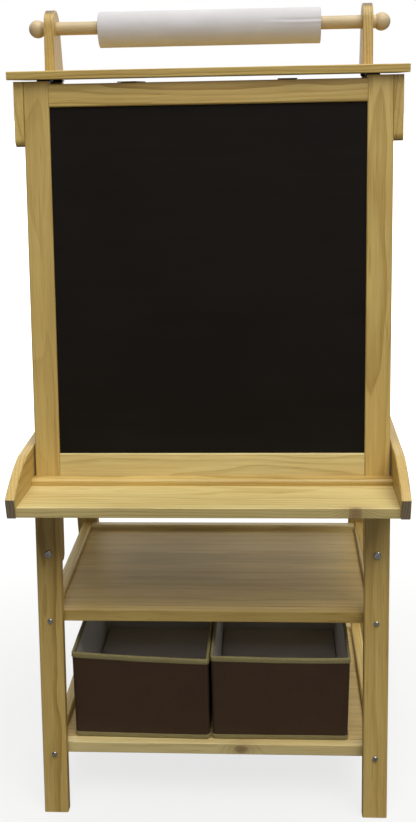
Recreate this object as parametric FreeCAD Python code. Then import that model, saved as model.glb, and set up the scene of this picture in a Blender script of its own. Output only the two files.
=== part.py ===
"""Double-sided wooden easel for children: two leaning board frames on bolted legs, two chalk trays,
two storage shelves with a pair of fabric bins, and a paper roll on a dowel above the top board.

Frame: millimetres, +Z up, X to the right, the chalkboard side faces -Y.
The origin lies on the floor, midway between the four legs.
"""
import FreeCAD, Part
import math
import os

os.makedirs("parts", exist_ok=True)
V = FreeCAD.Vector

# --- leaning frames -------------------------------------------------------------------------
LEAN = math.radians(8.0)        # each frame leans in by this much
HALF_SPREAD = 220.0             # stile face to the centre plane, measured at the floor
FRAME_HALF_WIDTH = 270.0
STILE_WIDTH = 38.0
STILE_THICK = 18.0
STILE_TOP = 1115.3
STILE_FOOT = 400.0
STILE_BEVEL = 9.0               # bevel on the hidden lower corner of a stile
LEG_THICK = 18.0
TOP_RAIL_TOP = 1111.5
TOP_RAIL_HEIGHT = 33.0
BOTTOM_RAIL_TOP = 568.0
BOTTOM_RAIL_HEIGHT = 38.0
PANEL_RECESS = 4.0              # the drawing boards lie this far behind the frame's face
PANEL_THICK = 5.0
GROOVE_DEPTH = 6.0
EASE = 2.5                      # rounded arris of the timber
SMALL_EASE = 1.5

# --- trays ------------------------------------------------------------------------------------
TRAY_TILT = math.radians(3.3)   # the tray's front lip stands higher than its back
TRAY_DEPTH = 127.0
TRAY_THICK = 16.0
TRAY_BACK_TOP = 523.5
TRAY_HALF_WIDTH = 272.5
BAR_DEPTH = 19.0
BAR_HEIGHT = 10.5
BAR_ROUND = 5.0
LIP_ROUND = 1.3
TRAY_SCREW_FORWARD = (35.0, 100.0)
TRAY_SCREW_LENGTH = 25.0
SIDE_BOARD_THICK = 14.5
SIDE_BOARD_NOSE = 3.0           # the side board stands this far proud of the lip
SIDE_BOARD_FRONT_HEIGHT = 29.5
SIDE_BOARD_RAKE = 5.0           # its end leans outward by this at the top
SIDE_BOARD_ROUND = 2.0
SIDE_BOARD_TOP = 579.0
SIDE_BOARD_LEVEL_FROM = 182.0   # distance from the centre plane where its top edge runs level
SIDE_BOARD_BULGE = 4.5          # how far its curved top edge stands above the chord

# --- shelves ----------------------------------------------------------------------------------
MIDDLE_SHELF_TOP = 321.5
BOTTOM_SHELF_TOP = 106.0
SHELF_RAIL_THICK = 18.0
SHELF_RAIL_OUTER = 259.0
SHELF_RAIL_HEIGHT = 36.0
SHELF_RAIL_ROUND = 4.0
SHELF_RAIL_RISE = 9.0           # side and back rails stand this far above the shelf panel
FRONT_RAIL_HEIGHT = 19.0
SHELF_PANEL_THICK = 12.0
SHELF_GROOVE = 6.0

# --- top --------------------------------------------------------------------------------------
TOP_BOARD_HALF_WIDTH = 291.5
TOP_BOARD_HALF_DEPTH = 75.0
TOP_BOARD_UNDERSIDE = 1117.8
TOP_BOARD_THICK = 12.0
GUSSET_THICK = 14.0
GUSSET_HEIGHT = 93.0
GUSSET_CORNER = 10.0
BRACKET_INNER = 226.5
BRACKET_THICK = 15.0
BRACKET_SCREW_REACH = 24.0
BRACKET_BASE = 72.0
BRACKET_HEAD_RADIUS = 26.0

# --- paper roll -------------------------------------------------------------------------------
DOWEL_HEIGHT = 1190.5
DOWEL_DIAMETER = 19.0
DOWEL_RUNNING_GAP = 0.05
DOWEL_LEFT = -247.5
DOWEL_RIGHT = 247.5
TENON_DIAMETER = 10.0
TENON_LENGTH = 12.0
KNOB_DIAMETER = 26.0
KNOB_LENGTH = 21.0
CORE_BORE = 26.0
CORE_WALL = 2.0
CORE_HANG = CORE_BORE / 2 - DOWEL_DIAMETER / 2 - 0.3
ROLL_DIAMETER = 51.0
ROLL_CENTRE = 1.8
ROLL_LENGTH = 327.0
CORE_LENGTH = 329.0

# --- fabric bins ------------------------------------------------------------------------------
BIN_WIDTH = 218.5
BIN_DEPTH = 370.0
BIN_HEIGHT = 145.5
BIN_WALL = 4.0
BIN_CORNER = 7.0
BIN_FRONT = -191.0
BIN_GAP_BELOW = 0.4
BIN_LEFTS = {"left": -224.6, "right": -5.3}
TRIM_HEIGHT = 8.0
TRIM_PROUD = 0.8
FOOT_TRIM_HEIGHT = 3.2
BASE_BOARD_THICK = 3.0
BASE_BOARD_CORNER = 4.0
BASE_BOARD_GAP = 1.0

# --- hardware ---------------------------------------------------------------------------------
LEG_CENTRE = FRAME_HALF_WIDTH - STILE_WIDTH / 2
STILE_BOLT_HEIGHTS = (418.5, 491.0)
STILE_BOLT_HEAD = 12.0
STILE_BOLT_SHANK = 6.0
SHELF_BOLT_HEAD = 8.5
SHELF_BOLT_SHANK = 5.0
SHELF_BOLT_LENGTH = 50.0
BARREL_DIAMETER = 9.0
BARREL_LENGTH = 11.0
HEAD_HEIGHT = 3.0
SOCKET_DEPTH = 1.8
FRAME_DOWEL_DIAMETER = 8.0
FRAME_DOWEL_LENGTH = 30.0
FRAME_DOWEL_SPACING = 14.0
HINGE_INNER = 230.0
HINGE_OUTER = 250.0
HINGE_LEAF = 16.0
HINGE_THICK = 1.0
KNUCKLE_DIAMETER = 4.0
HINGE_PIN_DIAMETER = 1.6
TIE_CENTRE = 117.0
TIE_WIDTH = 28.0
TIE_THICK = 1.5
SCREW_SHANK = 3.5
SCREW_HEAD = 7.0

FRONT, REAR = "front", "rear"
LEFT, RIGHT = "left", "right"
SIGN = {FRONT: 1, REAR: -1, LEFT: -1, RIGHT: 1}
SIN, COS, TAN = math.sin(LEAN), math.cos(LEAN), math.tan(LEAN)

parts = {}


# --- small tools ------------------------------------------------------------------------------
def on_slope(side, along, inward):
    """(y, z) of a point `along` up the outer face of a leaning frame and `inward` behind it."""
    y = -HALF_SPREAD + along * SIN + inward * COS
    return (SIGN[side] * y, along * COS - inward * SIN)


def at_height(side, height, inward):
    """(y, z) of the point of the plane `inward` behind the outer face that is at this height."""
    y = -HALF_SPREAD + height * TAN + inward / COS
    return (SIGN[side] * y, height)


def prism(points, x0, x1):
    """Solid with a (y, z) outline, from x0 to x1."""
    corners = [V(x0, y, z) for y, z in points]
    outline = Part.makePolygon(corners + corners[:1])
    return Part.Face(outline).extrude(V(x1 - x0, 0, 0))


def block(x0, x1, y0, y1, z0, z1):
    return Part.makeBox(x1 - x0, y1 - y0, z1 - z0, V(x0, y0, z0))


def rod(diameter, start, end):
    direction = end - start
    return Part.makeCylinder(diameter / 2, direction.Length, start, direction)


def ease(solid, radius, direction):
    """Round the straight edges that run along `direction`."""
    wanted = []
    for edge in solid.Edges:
        if edge.Curve.TypeId != "Part::GeomLine":
            continue
        run = edge.Vertexes[-1].Point - edge.Vertexes[0].Point
        if run.cross(direction).Length < 1e-6 * run.Length * direction.Length:
            wanted.append(edge)
    return solid.makeFillet(radius, wanted)


def slope_direction(side):
    return V(0, SIGN[side] * SIN, COS)


def inward_direction(side):
    return V(0, SIGN[side] * COS, -SIN)


def leaning_bar(side, x0, x1, low, high, outer, inner, radius=EASE):
    """Bar up a leaning frame, with level ends at heights `low` and `high`."""
    corners = [at_height(side, low, outer), at_height(side, high, outer),
               at_height(side, high, inner), at_height(side, low, inner)]
    return ease(prism(corners, x0, x1), radius, slope_direction(side))


def square_bar(side, x0, x1, low, high, outer, inner):
    """Bar across a leaning frame, square to its face; `low` and `high` are measured along it."""
    corners = [on_slope(side, low, outer), on_slope(side, high, outer),
               on_slope(side, high, inner), on_slope(side, low, inner)]
    return prism(corners, x0, x1)


def span(sign, inner, outer):
    """x range of something that lies between two distances from the centre, on one side."""
    return (inner, outer) if sign > 0 else (-outer, -inner)


def socket_bolt(head, shank, length, point, direction):
    """Button-head bolt: its head sits on the surface at `point`, its shank goes along `direction`."""
    direction = V(direction)
    direction.normalize()
    top = point - direction * HEAD_HEIGHT
    body = rod(head, top, point)
    rim = max(body.Edges, key=lambda edge: (edge.CenterOfMass - point).dot(direction * -1))
    body = body.makeFillet(HEAD_HEIGHT * 0.6, [rim])
    socket = hexagon(head * 0.42, top, direction, SOCKET_DEPTH)
    return body.fuse(rod(shank, point, point + direction * length)).cut(socket)


def hexagon(across, centre, direction, depth):
    """Hexagonal pocket of this width across its corners."""
    side_way = direction.cross(V(1, 0, 0))
    if side_way.Length < 0.1:
        side_way = direction.cross(V(0, 1, 0))
    side_way.normalize()
    other = direction.cross(side_way)
    corners = []
    for turn in range(6):
        angle = math.radians(60 * turn)
        corners.append(centre + (side_way * math.cos(angle) + other * math.sin(angle)) * (across / 2))
    return Part.Face(Part.makePolygon(corners + corners[:1])).extrude(direction * depth)


def wood_screw(length, point, direction):
    """Countersunk screw with its head flush with the surface at `point`, and the seat it fills."""
    direction = V(direction)
    direction.normalize()
    head_depth = (SCREW_HEAD - SCREW_SHANK) / 2
    head = Part.makeCone(SCREW_HEAD / 2, SCREW_SHANK / 2, head_depth, point, direction)
    tip = point + direction * (length - 4)
    shank = rod(SCREW_SHANK, point, tip)
    tip_cone = Part.makeCone(SCREW_SHANK / 2, 0.4, 4, tip, direction)
    seat = head.fuse([shank, tip_cone])
    return seat.cut(hexagon(3.0, point, direction, 1.2)), seat


def bore(solids, names):
    """Give the named parts holes that fit these fasteners exactly."""
    for name in names:
        shape = parts[name]
        near = [solid for solid in solids if solid.BoundBox.intersect(shape.BoundBox)]
        if near:
            parts[name] = shape.cut(near)


# --- leaning board frames ---------------------------------------------------------------------
def board_frame(side):
    inner_edge = FRAME_HALF_WIDTH - STILE_WIDTH
    top_along = TOP_RAIL_TOP / COS
    bottom_along = BOTTOM_RAIL_TOP / COS
    window_low = bottom_along - GROOVE_DEPTH
    window_high = top_along - TOP_RAIL_HEIGHT + GROOVE_DEPTH
    half_panel = inner_edge + GROOVE_DEPTH
    panel = square_bar(side, -half_panel, half_panel, window_low, window_high,
                       PANEL_RECESS, PANEL_RECESS + PANEL_THICK)
    for hand in (LEFT, RIGHT):
        x0, x1 = span(SIGN[hand], inner_edge, FRAME_HALF_WIDTH)
        stile = leaning_bar(side, x0, x1, STILE_FOOT, STILE_TOP, 0, STILE_THICK)
        stile = stile.cut(foot_bevel(side, x0, x1))
        parts["%s_%s_stile" % (side, hand)] = stile.cut(panel)
    across = V(1, 0, 0)
    top_rail = square_bar(side, -inner_edge, inner_edge, top_along - TOP_RAIL_HEIGHT, top_along,
                          0, STILE_THICK)
    bottom_rail = square_bar(side, -inner_edge, inner_edge, bottom_along - BOTTOM_RAIL_HEIGHT,
                             bottom_along, 0, STILE_THICK)
    parts["%s_top_rail" % side] = ease(top_rail, EASE, across).cut(panel)
    parts["%s_bottom_rail" % side] = ease(bottom_rail, EASE, across).cut(panel)
    parts["chalkboard_panel" if side == FRONT else "whiteboard_panel"] = panel
    return frame_dowels(side, inner_edge, top_along, bottom_along)


def foot_bevel(side, x0, x1):
    low = at_height(side, STILE_FOOT - 1, STILE_THICK + 1)
    high = at_height(side, STILE_FOOT + STILE_BEVEL, STILE_THICK + 1)
    corner = at_height(side, STILE_FOOT - 1, STILE_THICK - STILE_BEVEL)
    return prism([low, high, corner], x0 - 1, x1 + 1)


def frame_dowels(side, inner_edge, top_along, bottom_along):
    """Glued wooden pegs that hold the rails between the stiles."""
    pegs = []
    clear = GROOVE_DEPTH / 2
    centres = (top_along - TOP_RAIL_HEIGHT / 2 + clear, bottom_along - BOTTOM_RAIL_HEIGHT / 2 - clear)
    for centre in centres:
        for offset in (-FRAME_DOWEL_SPACING / 2, FRAME_DOWEL_SPACING / 2):
            y, z = on_slope(side, centre + offset, STILE_THICK / 2)
            for sign in (-1, 1):
                start = V(sign * (inner_edge - FRAME_DOWEL_LENGTH / 2), y, z)
                end = V(sign * (inner_edge + FRAME_DOWEL_LENGTH / 2), y, z)
                pegs.append(rod(FRAME_DOWEL_DIAMETER, start, end))
    names = ["%s_%s" % (side, piece) for piece in ("left_stile", "right_stile",
                                                    "top_rail", "bottom_rail")]
    bore(pegs, names)
    return pegs


# --- legs and trays ---------------------------------------------------------------------------
def tray_point(side, forward, up):
    """(y, z) of a point of the tray: `forward` from the stile face, `up` from the tray's top."""
    y_back, _ = at_height(FRONT, TRAY_BACK_TOP, 0)
    y = y_back - forward * math.cos(TRAY_TILT) - up * math.sin(TRAY_TILT)
    z = TRAY_BACK_TOP + forward * math.sin(TRAY_TILT) + up * math.cos(TRAY_TILT)
    return (SIGN[side] * y, z)


def legs(side):
    for hand in (LEFT, RIGHT):
        x0, x1 = span(SIGN[hand], FRAME_HALF_WIDTH - STILE_WIDTH, FRAME_HALF_WIDTH)
        leg = leaning_bar(side, x0, x1, 0, TRAY_BACK_TOP, -LEG_THICK, 0)
        above = prism([tray_point(side, -20, -TRAY_THICK), tray_point(side, 60, -TRAY_THICK),
                       tray_point(side, 60, 60), tray_point(side, -20, 60)], x0 - 1, x1 + 1)
        parts["%s_%s_leg" % (side, hand)] = leg.cut(above)


def tray(side):
    across = V(1, 0, 0)
    plank = prism([tray_point(side, 0.3, 0), tray_point(side, TRAY_DEPTH, 0),
                   tray_point(side, TRAY_DEPTH, -TRAY_THICK),
                   tray_point(side, -2.0, -TRAY_THICK)], -TRAY_HALF_WIDTH, TRAY_HALF_WIDTH)
    stile_side = prism([at_height(side, 400, 0), at_height(side, 700, 0),
                        at_height(side, 700, 40), at_height(side, 400, 40)],
                       -TRAY_HALF_WIDTH - 1, TRAY_HALF_WIDTH + 1)
    lip = [edge for edge in plank.Edges if is_lip(edge, side)]
    plank = plank.makeFillet(LIP_ROUND, lip).cut(stile_side)
    parts["%s_tray_plank" % side] = plank
    bar = prism([tray_point(side, -4, 0), tray_point(side, BAR_DEPTH, 0),
                 tray_point(side, BAR_DEPTH, BAR_HEIGHT), tray_point(side, -4, BAR_HEIGHT)],
                -TRAY_HALF_WIDTH, TRAY_HALF_WIDTH)
    crest_y, crest_z = tray_point(side, BAR_DEPTH, BAR_HEIGHT)
    crest = [edge for edge in bar.Edges
             if abs(edge.CenterOfMass.y - crest_y) < 0.1 and abs(edge.CenterOfMass.z - crest_z) < 0.1]
    parts["%s_tray_back_bar" % side] = bar.makeFillet(BAR_ROUND, crest).cut(stile_side)


def is_lip(edge, side):
    centre = edge.CenterOfMass
    along_x = abs(edge.Vertexes[-1].X - edge.Vertexes[0].X) > TRAY_HALF_WIDTH
    y_front, _ = tray_point(side, TRAY_DEPTH, 0)
    return along_x and abs(centre.y - y_front) < 5


def side_boards():
    """Boards that close both trays' ends and tie the front tray to the rear one."""
    for hand in (LEFT, RIGHT):
        x0, x1 = span(SIGN[hand], TRAY_HALF_WIDTH, TRAY_HALF_WIDTH + SIDE_BOARD_THICK)
        ends = {side: side_board_end(side, x0) for side in (FRONT, REAR)}
        edges = []
        for side in (FRONT, REAR):
            knee, foot, start, crown, level = ends[side]
            edges += [Part.makeLine(knee, foot), Part.makeLine(foot, start),
                      Part.Arc(start, crown, level).toShape()]
        edges.append(Part.makeLine(ends[FRONT][4], ends[REAR][4]))
        edges.append(Part.makeLine(ends[FRONT][0], ends[REAR][0]))
        outline = Part.Wire(Part.__sortEdges__(edges))
        solid = Part.Face(outline).extrude(V(x1 - x0, 0, 0))
        rounded = [edge for edge in solid.Edges
                   if abs(edge.Vertexes[-1].X - edge.Vertexes[0].X) < 1]
        parts["%s_tray_side_board" % hand] = solid.makeFillet(SIDE_BOARD_ROUND, rounded)


def side_board_end(side, x):
    """Knee and foot of the lower edge, and the upper edge's curve from the lip to its level run."""
    y_lip, z_lip = tray_point(FRONT, TRAY_DEPTH + SIDE_BOARD_NOSE, -TRAY_THICK)
    y_back, z_back = tray_point(FRONT, 0, -TRAY_THICK)
    start = V(x, y_lip - SIDE_BOARD_RAKE, z_lip + SIDE_BOARD_FRONT_HEIGHT)
    level = V(x, -SIDE_BOARD_LEVEL_FROM, SIDE_BOARD_TOP)
    chord = level - start
    normal = V(0, -chord.z, chord.y)
    normal.normalize()
    crown = (start + level) * 0.5 + normal * SIDE_BOARD_BULGE
    points = [V(x, y_back, z_back), V(x, y_lip, z_lip), start, crown, level]
    return [V(point.x, SIGN[side] * point.y, point.z) for point in points]


# --- shelves ----------------------------------------------------------------------------------
def shelf(name, top):
    """Shelf frame between the legs: raised side and back rails, a low front rail and a panel."""
    rail_top = top + SHELF_RAIL_RISE
    rail_low = rail_top - SHELF_RAIL_HEIGHT
    inner = SHELF_RAIL_OUTER - SHELF_RAIL_THICK
    face = HALF_SPREAD - rail_top * TAN
    across, deep = V(1, 0, 0), V(0, 1, 0)
    panel = block(-inner - SHELF_GROOVE, inner + SHELF_GROOVE, -face + SHELF_RAIL_THICK,
                  face - SHELF_RAIL_THICK + SHELF_GROOVE, top - SHELF_PANEL_THICK, top)
    for hand in (LEFT, RIGHT):
        x0, x1 = span(SIGN[hand], inner, SHELF_RAIL_OUTER)
        outline = [at_height(FRONT, rail_low, 0), at_height(FRONT, rail_top, 0),
                   at_height(REAR, rail_top, 0), at_height(REAR, rail_low, 0)]
        rail = ease(prism(outline, x0, x1), SHELF_RAIL_ROUND, deep)
        parts["%s_shelf_%s_rail" % (name, hand)] = rail.cut(panel)
    back = block(-inner, inner, face - SHELF_RAIL_THICK, face, rail_low, rail_top)
    parts["%s_shelf_back_rail" % name] = ease(back, SHELF_RAIL_ROUND, across).cut(panel)
    front = block(-inner, inner, -face, -face + SHELF_RAIL_THICK, top - FRONT_RAIL_HEIGHT, top)
    parts["%s_shelf_front_rail" % name] = ease(front, SMALL_EASE, across)
    parts["%s_shelf_panel" % name] = panel


# --- top board and paper roll -----------------------------------------------------------------
def top():
    board = block(-TOP_BOARD_HALF_WIDTH, TOP_BOARD_HALF_WIDTH, -TOP_BOARD_HALF_DEPTH,
                  TOP_BOARD_HALF_DEPTH, TOP_BOARD_UNDERSIDE, TOP_BOARD_UNDERSIDE + TOP_BOARD_THICK)
    parts["top_board"] = ease(ease(board, SMALL_EASE, V(1, 0, 0)), SMALL_EASE, V(0, 0, 1))
    for hand in (LEFT, RIGHT):
        x0, x1 = span(SIGN[hand], FRAME_HALF_WIDTH, FRAME_HALF_WIDTH + GUSSET_THICK)
        low, high = STILE_TOP - GUSSET_HEIGHT, STILE_TOP
        plate = prism([at_height(FRONT, low, 0), at_height(FRONT, high, 0),
                       at_height(REAR, high, 0), at_height(REAR, low, 0)], x0, x1)
        corners = [edge for edge in plate.Edges
                   if edge.CenterOfMass.z < low + 0.1 and edge.Length < GUSSET_THICK + 0.1]
        parts["%s_gusset" % hand] = plate.makeFillet(GUSSET_CORNER, corners)
        parts["%s_roll_bracket" % hand] = roll_bracket(SIGN[hand])


def roll_bracket(sign):
    """Upright with a round head that carries the dowel."""
    x0, x1 = span(sign, BRACKET_INNER, BRACKET_INNER + BRACKET_THICK)
    foot = TOP_BOARD_UNDERSIDE + TOP_BOARD_THICK
    rise = DOWEL_HEIGHT - foot
    half = BRACKET_BASE / 2
    reach = math.hypot(half, rise)
    swing = math.atan2(-rise, half) + math.acos(BRACKET_HEAD_RADIUS / reach)
    touch_y = BRACKET_HEAD_RADIUS * math.cos(swing)
    touch_z = DOWEL_HEIGHT + BRACKET_HEAD_RADIUS * math.sin(swing)
    crown = V(x0, 0, DOWEL_HEIGHT + BRACKET_HEAD_RADIUS)
    edges = [Part.makeLine(V(x0, -half, foot), V(x0, half, foot)),
             Part.makeLine(V(x0, half, foot), V(x0, touch_y, touch_z)),
             Part.Arc(V(x0, touch_y, touch_z), crown, V(x0, -touch_y, touch_z)).toShape(),
             Part.makeLine(V(x0, -touch_y, touch_z), V(x0, -half, foot))]
    solid = Part.Face(Part.Wire(edges)).extrude(V(x1 - x0, 0, 0))
    rounded = [edge for edge in solid.Edges if edge.CenterOfMass.z > foot + 1
               and abs(edge.Vertexes[-1].X - edge.Vertexes[0].X) < 1]
    solid = solid.makeFillet(SMALL_EASE, rounded)
    hole = rod(DOWEL_DIAMETER + 2 * DOWEL_RUNNING_GAP, V(x0 - 1, 0, DOWEL_HEIGHT),
               V(x1 + 1, 0, DOWEL_HEIGHT))
    return solid.cut(hole)


def paper_roll():
    left, right = V(DOWEL_LEFT, 0, DOWEL_HEIGHT), V(DOWEL_RIGHT, 0, DOWEL_HEIGHT)
    tenon = V(TENON_LENGTH, 0, 0)
    dowel = rod(DOWEL_DIAMETER, left, right)
    dowel = dowel.fuse(rod(TENON_DIAMETER, left - tenon, right + tenon))
    parts["roll_dowel"] = dowel.removeSplitter()
    for hand, face in ((LEFT, left), (RIGHT, right)):
        parts["%s_roll_knob" % hand] = knob(SIGN[hand], face)
    hang = DOWEL_HEIGHT - CORE_HANG
    start = V(ROLL_CENTRE - ROLL_LENGTH / 2, 0, hang)
    end = V(ROLL_CENTRE + ROLL_LENGTH / 2, 0, hang)
    core_extra = V((CORE_LENGTH - ROLL_LENGTH) / 2, 0, 0)
    core = rod(CORE_BORE + 2 * CORE_WALL, start - core_extra, end + core_extra)
    parts["paper_core"] = core.cut(rod(CORE_BORE, start - core_extra * 3, end + core_extra * 3))
    paper = rod(ROLL_DIAMETER, start, end)
    parts["paper_roll"] = paper.cut(rod(CORE_BORE + 2 * CORE_WALL, start - core_extra, end + core_extra))


def knob(sign, face):
    """Ball with a flat where it meets the dowel, and a bore for the dowel's tenon."""
    radius = KNOB_DIAMETER / 2
    centre = face + V(sign * (KNOB_LENGTH - radius), 0, 0)
    ball = Part.makeSphere(radius, centre)
    x0, x1 = span(sign, abs(face.x) - 2 * radius, abs(face.x))
    beyond = block(x0, x1, -2 * radius, 2 * radius, face.z - 2 * radius, face.z + 2 * radius)
    bore_rod = rod(TENON_DIAMETER, face - V(sign, 0, 0), face + V(sign * TENON_LENGTH, 0, 0))
    return ball.cut(beyond).cut(bore_rod)


# --- fabric bins ------------------------------------------------------------------------------
def rounded_box(x0, x1, y0, y1, z0, z1, radius):
    return ease(block(x0, x1, y0, y1, z0, z1), radius, V(0, 0, 1))


def fabric_bin(name, x0):
    """Open bin with stiffened walls, a loose base board, and trim round its rim and its foot."""
    x1 = x0 + BIN_WIDTH
    y0, y1 = BIN_FRONT, BIN_FRONT + BIN_DEPTH
    z0 = BOTTOM_SHELF_TOP + BIN_GAP_BELOW
    z1 = z0 + BIN_HEIGHT
    wall, proud = BIN_WALL, TRIM_PROUD
    outer = rounded_box(x0 + proud, x1 - proud, y0 + proud, y1 - proud, z0, z1 - proud, BIN_CORNER)
    hollow = rounded_box(x0 + wall, x1 - wall, y0 + wall, y1 - wall, z0 + wall, z1 + 1,
                         BIN_CORNER - wall + proud)
    shell = outer.cut(hollow)
    rim = rounded_box(x0, x1, y0, y1, z1 - TRIM_HEIGHT, z1, BIN_CORNER)
    mouth = rounded_box(x0 + wall + proud, x1 - wall - proud, y0 + wall + proud, y1 - wall - proud,
                        z1 - 2 * TRIM_HEIGHT, z1 + 1, BIN_CORNER - wall)
    foot = rounded_box(x0, x1, y0, y1, z0, z0 + FOOT_TRIM_HEIGHT, BIN_CORNER)
    parts["%s_bin_shell" % name] = shell
    rim_trim = rim.cut(mouth).cut(shell)
    parts["%s_bin_trim" % name] = Part.makeCompound([rim_trim, foot.cut(outer)])
    margin = wall + BASE_BOARD_GAP
    parts["%s_bin_base_board" % name] = rounded_box(x0 + margin, x1 - margin, y0 + margin, y1 - margin,
                                                    z0 + wall, z0 + wall + BASE_BOARD_THICK, BASE_BOARD_CORNER)


# --- hardware ---------------------------------------------------------------------------------
def stile_bolts():
    """Bolts that clamp each leg to the stile behind it, with sleeve nuts on the far side."""
    bolts, nuts = [], []
    for side in (FRONT, REAR):
        for hand in (LEFT, RIGHT):
            seats = ["%s_%s_leg" % (side, hand), "%s_%s_stile" % (side, hand)]
            for height in STILE_BOLT_HEIGHTS:
                y, z = at_height(side, height, -LEG_THICK)
                point = V(SIGN[hand] * LEG_CENTRE, y, z)
                way = inward_direction(side)
                depth = LEG_THICK + STILE_THICK
                bolt = socket_bolt(STILE_BOLT_HEAD, STILE_BOLT_SHANK, depth - 6, point, way)
                far = point + way * depth
                nut = rod(STILE_BOLT_HEAD, far, far + way * 2).fuse(rod(8.0, far - way * 14, far))
                nut = nut.cut(rod(STILE_BOLT_SHANK, far - way * 15, far - way * 6))
                bore([bolt, nut], seats)
                bolts.append(bolt)
                nuts.append(nut)
    parts["leg_bolts"] = Part.makeCompound(bolts)
    parts["leg_bolt_nuts"] = Part.makeCompound(nuts)


def shelf_bolts():
    """Bolts through the legs into the ends of the shelf side rails, held by barrel nuts."""
    bolts, barrels = [], []
    for name, top_height in (("middle", MIDDLE_SHELF_TOP), ("bottom", BOTTOM_SHELF_TOP)):
        centre = top_height + SHELF_RAIL_RISE - SHELF_RAIL_HEIGHT / 2
        for side in (FRONT, REAR):
            for hand in (LEFT, RIGHT):
                seats = ["%s_%s_leg" % (side, hand), "%s_shelf_%s_rail" % (name, hand)]
                y, z = at_height(side, centre, -LEG_THICK)
                x = SIGN[hand] * LEG_CENTRE
                point = V(x, y, z)
                way = inward_direction(side)
                bolt = socket_bolt(SHELF_BOLT_HEAD, SHELF_BOLT_SHANK, SHELF_BOLT_LENGTH, point, way)
                grip = point + way * (SHELF_BOLT_LENGTH - 6)
                x0, x1 = span(SIGN[hand], SHELF_RAIL_OUTER - BARREL_LENGTH, SHELF_RAIL_OUTER)
                barrel = rod(BARREL_DIAMETER, V(x0, grip.y, grip.z), V(x1, grip.y, grip.z))
                barrel = barrel.cut(bolt)
                bore([bolt, barrel], seats)
                bolts.append(bolt)
                barrels.append(barrel)
    parts["shelf_bolts"] = Part.makeCompound(bolts)
    parts["shelf_barrel_nuts"] = Part.makeCompound(barrels)


def screw_group(name, places, seats):
    """Screws given as (length, point, direction), in holes that fit them."""
    pairs = [wood_screw(*place) for place in places]
    bore([seat for screw, seat in pairs], seats)
    parts[name] = Part.makeCompound([screw for screw, seat in pairs])


def gusset_screws():
    places = []
    for sign in (-1, 1):
        x = sign * (FRAME_HALF_WIDTH + GUSSET_THICK)
        for side in (FRONT, REAR):
            for height in (STILE_TOP - 22, STILE_TOP - GUSSET_HEIGHT + 22):
                y, z = at_height(side, height, STILE_THICK / 2)
                places.append((35.0, V(x, y, z), V(-sign, 0, 0)))
    seats = ["left_gusset", "right_gusset"]
    seats += ["%s_%s_stile" % (side, hand) for side in (FRONT, REAR) for hand in (LEFT, RIGHT)]
    screw_group("gusset_screws", places, seats)


def bracket_screws():
    places = []
    for sign in (-1, 1):
        x = sign * (BRACKET_INNER + BRACKET_THICK / 2)
        for y in (-BRACKET_SCREW_REACH, BRACKET_SCREW_REACH):
            places.append((40.0, V(x, y, TOP_BOARD_UNDERSIDE), V(0, 0, 1)))
    return places


def tray_screws():
    places, seats = [], []
    for side in (FRONT, REAR):
        for sign in (-1, 1):
            x = sign * (TRAY_HALF_WIDTH + SIDE_BOARD_THICK)
            for forward in TRAY_SCREW_FORWARD:
                y, z = tray_point(side, forward, -TRAY_THICK / 2)
                places.append((35.0, V(x, y, z), V(-sign, 0, 0)))
        y_low, z_low = tray_point(side, BAR_DEPTH / 2, -TRAY_THICK)
        y_top, z_top = tray_point(side, BAR_DEPTH / 2, 0)
        up = V(0, y_top - y_low, z_top - z_low)
        up.normalize()
        for x in (-180.0, -60.0, 60.0, 180.0):
            places.append((TRAY_SCREW_LENGTH, V(x, y_low, z_low), up))
        for x in (-LEG_CENTRE, LEG_CENTRE):
            places.append((TRAY_SCREW_LENGTH, V(x, y_top, z_top), up * -1))
        seats += ["%s_tray_plank" % side, "%s_tray_back_bar" % side]
        seats += ["%s_left_leg" % side, "%s_right_leg" % side]
    seats += ["left_tray_side_board", "right_tray_side_board"]
    screw_group("tray_screws", places, seats)


def board_hinges():
    """Small butt hinges, folded shut between each stile's end and the top board."""
    leaves, pins = [], []
    for side in (FRONT, REAR):
        y_face, _ = at_height(side, STILE_TOP, STILE_THICK)
        for sign in (-1, 1):
            x0, x1 = span(sign, HINGE_INNER, HINGE_OUTER)
            lower, upper, pin = hinge(SIGN[side], y_face, x0, x1)
            leaves += [lower, upper]
            pins.append(pin)
    parts["board_hinge_leaves"] = Part.makeCompound(leaves)
    parts["board_hinge_pins"] = Part.makeCompound(pins)


def hinge(way, y_face, x0, x1):
    """Lower leaf, upper leaf and pin of a shut hinge; its knuckle hangs behind the stile."""
    radius = KNUCKLE_DIAMETER / 2
    y_pin = y_face + way * (radius + 0.2)
    z_pin = TOP_BOARD_UNDERSIDE - radius - 0.1
    y_back = y_pin - way * HINGE_LEAF
    y_short = y_pin - way * (radius + 0.2)
    y_long = y_pin - way * (radius - 0.7)
    z_split = STILE_TOP + HINGE_THICK
    third = (x1 - x0) / 3
    gap = 0.2

    def leaf(xa, xb, y_end, z0):
        return block(xa, xb, min(y_back, y_end), max(y_back, y_end), z0, z0 + HINGE_THICK)

    def knuckle(xa, xb):
        return rod(KNUCKLE_DIAMETER, V(xa, y_pin, z_pin), V(xb, y_pin, z_pin))

    pin = rod(HINGE_PIN_DIAMETER, V(x0 - 0.5, y_pin, z_pin), V(x1 + 0.5, y_pin, z_pin))
    lower = leaf(x0, x1, y_short, STILE_TOP)
    for xa, xb in ((x0, x0 + third - gap), (x1 - third + gap, x1)):
        lower = lower.fuse([leaf(xa, xb, y_long, STILE_TOP), knuckle(xa, xb)])
    xa, xb = x0 + third, x1 - third
    upper = leaf(x0, x1, y_short, z_split).fuse([leaf(xa, xb, y_long, z_split), knuckle(xa, xb)])
    return lower.removeSplitter().cut(pin), upper.removeSplitter().cut(pin), pin


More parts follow.
